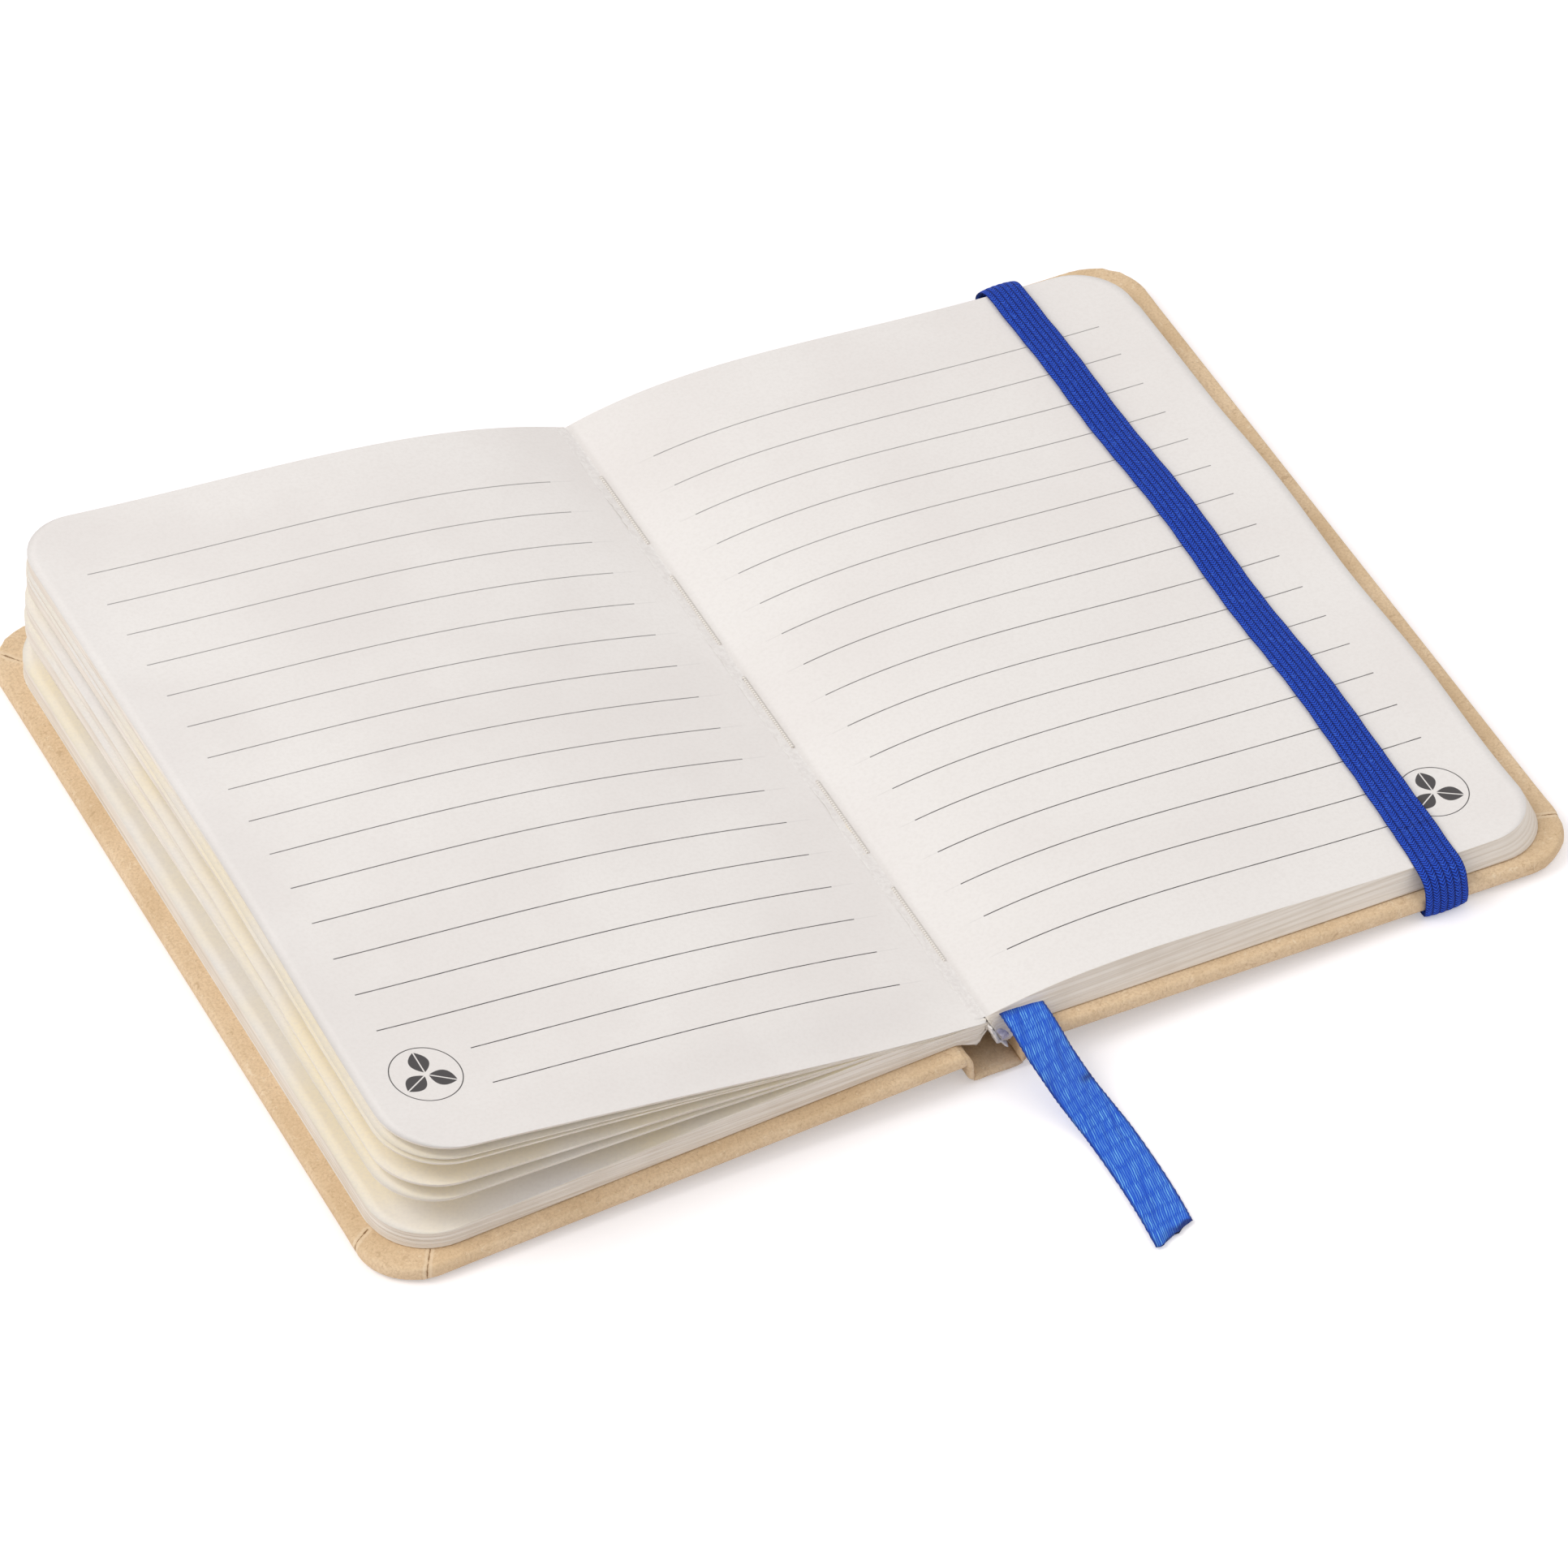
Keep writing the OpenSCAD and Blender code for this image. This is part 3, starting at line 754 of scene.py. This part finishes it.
def cover(name, side, body, node):
    """One cover: a plate with round edges, laid on the table by its fore-edge and lifted at the spine."""
    def on_table(point, share):
        point = crumpled(point, share)
        lifted = Matrix.Rotation(tilt, 3, "Y") @ Vector((point.x - board_w, point.y, point.z))
        return Vector((side * (half_w + lifted.x), lifted.y, lifted.z))

    plate = stack(rounded(-0.45, board_w, cover_half_h, cover_r, 1), lambda x, y: cover_t,
                  lambda x, y: 0.0, 110, 90, rim, on_table)
    return hand_over(name, plate, [kraft_paper, kraft_paper], body, [node])


cover("kraft_front", -1, "front_half", "front_cover_paper")
cover("kraft_back", 1, "back_half", "back_cover_paper")

# %% [markdown]
# At the spine the same sheet of kraft goes down from the board, along the joint groove and across the strip
# of card. It is doubled there, because it is turned in at the head and the tail.

# %% Kraft paper of the spine
def strip(line, thick, low_y, high_y, round_end, wander, columns=20, rows=60):
    """A band with the given section across the book. wander moves its points, to tear or crumple it."""
    middle = smooth_line([Vector((x, 0, z)) for x, z in line], 6)

    def lay(around, along_y):
        turn = around * 2 * math.pi
        t = (1 - math.cos(turn)) / 2 * (len(middle) - 1)
        i = min(int(t), len(middle) - 2)
        ahead = (middle[i + 1] - middle[i]).normalized()
        share = (1 - math.cos(along_y * math.pi)) / 2
        y = low_y + share * (high_y - low_y)
        near_end = max(0.0, 1 - min(y - low_y, high_y - y) / round_end)
        full = math.sqrt(max(0.0, 1 - near_end ** 2)) * (1 - (2 * t / (len(middle) - 1) - 1) ** 8)
        bulge = thick / 2 * full * (1 if turn < math.pi else -1)
        at = middle[i].lerp(middle[i + 1], t - i) + Vector((0, y, 0))
        at += Vector((-ahead.z, 0, ahead.x)) * bulge
        return at + wander(at, share)

    return skin(2 * columns, rows, lay)


def kraft_folds(at, share):
    return Vector((1, 0, 1)) * 0.12 * noise.noise(at * 0.35)


def kraft_strip(name, line, thick, body, nodes):
    """Kraft paper as long as the covers."""
    bm = strip(line, thick, -cover_half_h - tail_overhang, cover_half_h, 0.6, kraft_folds)
    return hand_over(name, bm, [kraft_paper], body, nodes)


spine_z, spine_t, joint_t = 0.56, 1.02, 1.15
kraft_strip("kraft_spine", [(x, spine_z) for x in (-3.8, -1.5, 1.5, 3.8)], spine_t, "spine",
            ["spine_cover_paper"])
joint_line = [(6.6, 4.75), (5.4, 4.8), (4.65, 4.3), (4.3, 3.0), (4.2, 1.6), (3.75, 0.75)]
left_joint = kraft_strip("kraft_joint_front", [(-x, z) for x, z in joint_line], joint_t, None,
                         ["front_cover_paper"])
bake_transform(left_joint)
kraft_strip("kraft_joint_back", joint_line, joint_t, "back_half", ["back_cover_paper"])

# %% [markdown]
# The leaves were glued along their back and lined with gauze. Where the book is bent open this lining shows
# at the tail as a torn white edge with a loose loop, and in the gutter as a ragged strip of glue. The loop is
# the lining's gauze seen from below in shade, and its grey-lilac colour is painted shade. The glue is brittle
# and bridges the fold. Small holes are left where the needle went through.

# %% Lining and glue
glue = Finish("glue_and_gauze")
point, (x, y, z) = glue.place()
tone = glue.blend(glue.fade(glue.grain(point, 0.7, 3, 0.7), 0.35, 0.65),
                  colour(233, 229, 226), colour(243, 240, 237))
tone = glue.blend(glue.fade(glue.grain(glue.stretched(point, 1, 0.25, 1), 0.5, 2), 0.6, 0.75, 0, 0.15),
                  tone, colour(206, 198, 193))
needle_holes, hole_x = ((7.7, 0.42), (-18.4, 0.3), (-39.1, 0.27)), -0.35  # places along the fold, radii
# Painted shade: each needle hole is a near-black spot, the shade inside the hole.
for hole_y, hole_r in needle_holes:
    spot = glue.length(glue.calc("SUBTRACT", x, hole_x),
                       glue.calc("MULTIPLY", glue.calc("SUBTRACT", y, hole_y), 0.8))
    spot = glue.calc("ADD", spot, glue.calc("MULTIPLY", glue.off(glue.grain(point, 0.35, 2), 0.5), 1.6))
    tone = glue.blend(glue.fade(spot, hole_r + 0.12, hole_r), tone, colour(40, 34, 32))
glue_paper = glue.finish(tone, 0.7, glue.grain(point, 0.8, 3, 0.7), 0.04, 0.6, Specular_IOR_Level=0.3)


def torn(at, share):
    """Ragged edges and ends."""
    end = 1.3 * (smooth_step(-at.y, 62, 67) - smooth_step(at.y, 62, 67))
    jag = noise.noise(Vector((at.x * 1.9, at.z * 1.9, 9)))
    ripple = noise.noise(Vector((at.x, at.y * 0.9, at.z)))
    return Vector((0.28 * ripple, end * jag, 0.1 * ripple))


lining_line = [(-0.55, 7.9), (0.05, 6.6), (0.6, 5.1), (1.3, 3.8), (2.4, 3.1)]
lining = strip(lining_line, 0.5, -68.6, 66.6, 0.2, torn, rows=160)
hand_over("lining_strip", lining, [glue_paper], "back_half", ["spine_lining"])


def ragged_sides(at, share):
    """The glue strip lies on the page and narrows, widens and breaks off along its left side."""
    left = smooth_step(-at.x, 0.9, 2.2)
    slow, fine = noise.noise(Vector((2, at.y * 0.12, 4))), noise.noise(Vector((5, at.y * 0.8, 4)))
    return Vector((left * (0.5 * slow + 0.25 * fine), 0, left_top(at.x, at.y) + 0.03))


glue_line = [(-2.1, 0), (-1.4, 0), (-0.7, 0.02), (0.0, 0.0)]
bridge = strip(glue_line, 0.09, -66.9, 66.9, 0.2, ragged_sides, 16, 220)
hand_over("gutter_glue", bridge, [glue_paper], "front_half")

# Painted shade: the loop is the lining's gauze seen from below in the shade of the leaves, so it gets a
# darker grey-lilac colour.
lilac = Finish("gauze_in_painted_shade")
point, (x, y, z) = lilac.place()
tone = lilac.blend(lilac.fade(lilac.grain(point, 0.5, 3), 0.35, 0.65),
                   colour(186, 182, 204), colour(226, 222, 234))
gauze_in_painted_shade = lilac.finish(tone, 0.85, lilac.grain(point, 0.3, 2), 0.08, 0.8)
loop_bends = ((0.5, -66.6, 6.3), (1.3, -67.7, 5.9), (2.0, -68.3, 4.9), (2.3, -68.1, 3.7),
              (1.8, -67.6, 3.0), (1.4, -66.9, 3.4))
loop_line = smooth_line([Vector(bend) for bend in loop_bends], 5)


def loop_point(around, along_loop):
    """A flat band, bent over once."""
    i = round(along_loop * (len(loop_line) - 1))
    turn = around * 2 * math.pi
    wide = Vector((0.85, 0.25, -0.35)) * math.cos(turn) * (1 - 0.25 * along_loop)
    return loop_line[i] + wide + Vector((0.1, -0.12, 0.1)) * math.sin(turn)


hand_over("lining_loop", skin(14, len(loop_line) - 1, loop_point), [gauze_in_painted_shade], "back_half",
          ["spine_lining"])

# %% [markdown]
# The elastic is braided: six cords of fine yarn lie side by side, each a row of small V stitches. It goes
# round the back half, over the leaves and under the cover, and takes the wave of the page. The rings of its
# skin are equally far apart, so that the stitches, which run along its map, come out equally long
# everywhere.

# %% Elastic band
elastic_t, cords = 0.7, 6
rings_round, stitches_round = 380, 640
tail_turn = [(-66.2, 7.0), (-68.6, 6.9), (-70.2, 6.1), (-71.0, 3.9), (-71.1, 1.7), (-70.0, 0.45)]
head_turn = [(66.0, 6.3), (68.2, 5.7), (69.7, 4.4), (70.5, 2.9), (70.3, 1.4), (69.2, 0.5)]
# Middle of the band and its width, at places along the leaves
elastic_run = [(-70, 70.75, 6.9), (-60, 71.3, 6.5), (-48, 71.75, 6.2), (0, 72.0, 5.7), (70, 72.3, 5.8)]


def even_line(line, pieces):
    """The same line with its points equally far apart."""
    gone = [0.0]
    for here, there in zip(line, line[1:]):
        gone.append(gone[-1] + (there - here).length)
    even, k = [], 0
    for n in range(pieces + 1):
        want = gone[-1] * n / pieces
        while k < len(line) - 2 and gone[k + 1] < want:
            k += 1
        even.append(line[k].lerp(line[k + 1], (want - gone[k]) / max(gone[k + 1] - gone[k], 1e-6)))
    return even


def on_run(y, column):
    return along([(place[0], place[column]) for place in elastic_run], y)


top_run = [(y, right_top(on_run(y, 1), y) + 0.62) for y in range(-60, 61, 5)]
loop = top_run + head_turn + [(60, 0.5), (20, 0.5), (-20, 0.5), (-60, 0.5)] + tail_turn[::-1]
loop = even_line(smooth_line([Vector((0, y, z)) for y, z in loop + loop[:1]], 8), rings_round)

braid = Finish("blue_braid")
chart = braid.node("SeparateXYZ", {0: braid.node("TexCoord").outputs["UV"]}).outputs
side = braid.calc("COSINE", braid.calc("MULTIPLY", chart[0], 2 * math.pi))
lane = braid.calc("MULTIPLY", braid.calc("ADD", side, 1.0), cords / 2)
in_lane = braid.calc("PINGPONG", lane, 0.5)
unrest = braid.calc("MULTIPLY", braid.grain(braid.place()[0], 1.2, 2), 0.9)
stitches = braid.calc("ADD", braid.calc("MULTIPLY", chart[1], stitches_round),
                      braid.calc("MULTIPLY", in_lane, 2.2))
stitches = braid.calc("ADD", stitches, unrest)
ribs = braid.calc("PINGPONG", stitches, 0.5)
# Painted light and shade on the braid's relief: each stitch is lighter on its crest and darker in its trough,
# and the grooves between the cords are darker still.
groove_painted_shade = braid.fade(in_lane, 0.2, 0.0)
tone = braid.blend(braid.fade(ribs, 0.1, 0.4), colour(4, 26, 112), colour(42, 92, 222))
fluff = braid.fade(braid.grain(braid.place()[0], 0.5, 3), 0.5, 0.8, 0, 0.45)
tone = braid.blend(fluff, tone, colour(80, 130, 244))
tone = braid.blend(braid.calc("MULTIPLY", groove_painted_shade, 0.8), tone, colour(4, 14, 78))
relief = braid.calc("ADD", braid.calc("MULTIPLY", ribs, 0.6), braid.calc("MULTIPLY", in_lane, 1.2))
blue_braid = braid.finish(tone, 0.8, relief, 0.2, 0.9, Specular_IOR_Level=0.25)


def elastic_point(around, along_loop):
    i = round(along_loop * (len(loop) - 1))
    ahead = (loop[(i + 1) % (len(loop) - 1)] - loop[(i - 1) % (len(loop) - 1)]).normalized()
    normal = Vector((0, -ahead.z, ahead.y))
    turn = around * 2 * math.pi
    side = math.cos(turn)
    cord = 0.78 + 0.22 * abs(math.sin((side + 1) * cords / 2 * math.pi))
    thick = elastic_t / 2 * math.sin(turn) * (1 - 0.3 * side ** 4) * cord
    wide = on_run(loop[i].y, 2) / 2 * (1 + 0.012 * math.sin(along_loop * 260))
    return loop[i] + Vector((on_run(loop[i].y, 1) + side * wide, 0, 0)) + normal * thick


hand_over("elastic", skin(96, len(loop) - 1, elastic_point), [blue_braid], "back_half",
          ["elastic_band"])

# %% [markdown]
# Boards, endpapers and thread keep the shape that the CAD gave them, and get finishes of their own.

# %% Finishes of the pieces that stay
felt = Finish("grey_board")
point = felt.place()[0]
tone = felt.blend(felt.fade(felt.grain(point, 0.8, 4, 0.7), 0.3, 0.7),
                  colour(150, 146, 140), colour(184, 180, 172))
grey_board = felt.finish(tone, 0.9, felt.grain(point, 0.4, 3), 0.06, 0.8)
endpaper = plain_paper("endpaper", colour(238, 235, 229))
cotton = Finish("cotton_thread")
point, (x, y, z) = cotton.place()
twist = cotton.calc("PINGPONG", cotton.calc("ADD", cotton.calc("MULTIPLY", y, 2.2), x), 0.5)
tone = cotton.blend(cotton.fade(twist, 0.1, 0.4), colour(206, 200, 192), colour(240, 236, 230))
cotton_thread = cotton.finish(tone, 0.8, twist, 0.08, 0.8)
for finish, nodes in ((grey_board, ("front_board", "back_board", "spine_stiffener")),
                      (endpaper, ("front_endpaper", "back_endpaper")), (cotton_thread, ("sewing_thread",))):
    for node in nodes:
        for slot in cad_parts[node].material_slots:
            slot.material = finish
print("boards, endpapers and thread are dressed")
